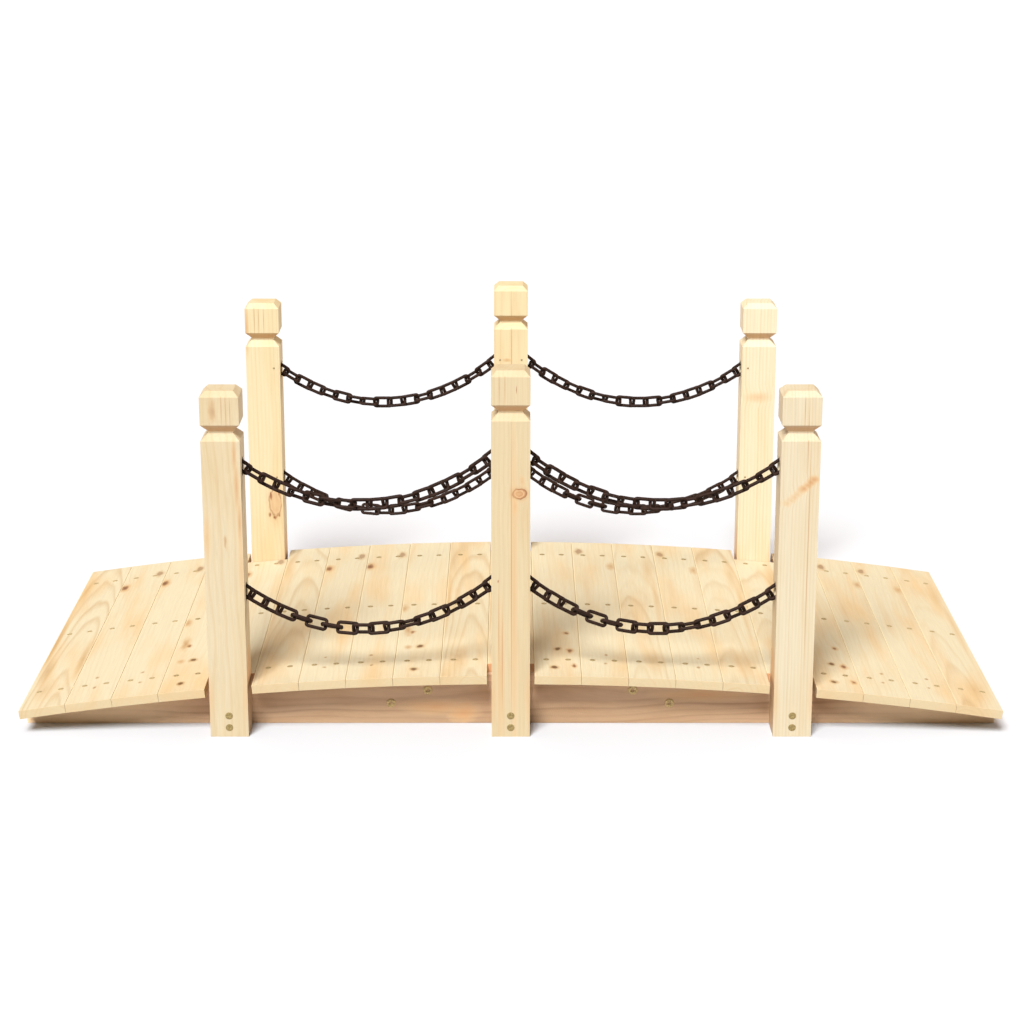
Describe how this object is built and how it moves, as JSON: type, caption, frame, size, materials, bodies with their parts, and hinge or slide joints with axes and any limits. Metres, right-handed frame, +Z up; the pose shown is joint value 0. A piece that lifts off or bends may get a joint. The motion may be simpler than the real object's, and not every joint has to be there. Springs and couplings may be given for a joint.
{
  "type": "garden bridge",
  "caption": "Small arched timber footbridge for a garden: plank deck on sawn beams, capped square posts and swagged iron chains as railings",
  "frame": {"origin": "centre of the bridge's footprint, on the ground under the middle beam", "axes": "+X along the deck, +Y from the near railing to the far railing, +Z up"},
  "size_m": [1.4196, 0.67, 0.54],
  "materials": {
    "deck_wood": "matte",
    "post_wood": "matte",
    "beam_wood": "matte",
    "chain_iron": "satin",
    "pin_steel": "satin"
  },
  "bodies": {
    "root": {"near_beam": "beam_wood", "middle_beam": "beam_wood", "far_beam": "beam_wood", "cross_brace_left": "beam_wood", "cross_brace_right": "beam_wood", "deck_board_01": "deck_wood", "deck_board_02": "deck_wood", "deck_board_03": "deck_wood", "deck_board_04": "deck_wood", "deck_board_05": "deck_wood", "deck_board_06": "deck_wood", "deck_board_07": "deck_wood", "deck_board_08": "deck_wood", "deck_board_09": "deck_wood", "deck_board_10": "deck_wood", "deck_board_11": "deck_wood", "deck_board_12": "deck_wood", "deck_board_13": "deck_wood", "deck_board_14": "deck_wood", "deck_board_15": "deck_wood", "deck_board_16": "deck_wood", "deck_board_17": "deck_wood", "deck_board_18": "deck_wood", "deck_board_19": "deck_wood", "deck_board_20": "deck_wood", "deck_board_21": "deck_wood", "near_left_post": "post_wood", "near_middle_post": "post_wood", "near_right_post": "post_wood", "near_left_upper_chain": "chain_iron", "near_left_lower_chain": "chain_iron", "near_right_upper_chain": "chain_iron", "near_right_lower_chain": "chain_iron", "near_chain_pins": "pin_steel", "far_left_post": "post_wood", "far_middle_post": "post_wood", "far_right_post": "post_wood", "far_left_upper_chain": "chain_iron", "far_left_lower_chain": "chain_iron", "far_right_upper_chain": "chain_iron", "far_right_lower_chain": "chain_iron", "far_chain_pins": "pin_steel"}
  },
  "joints": []
}
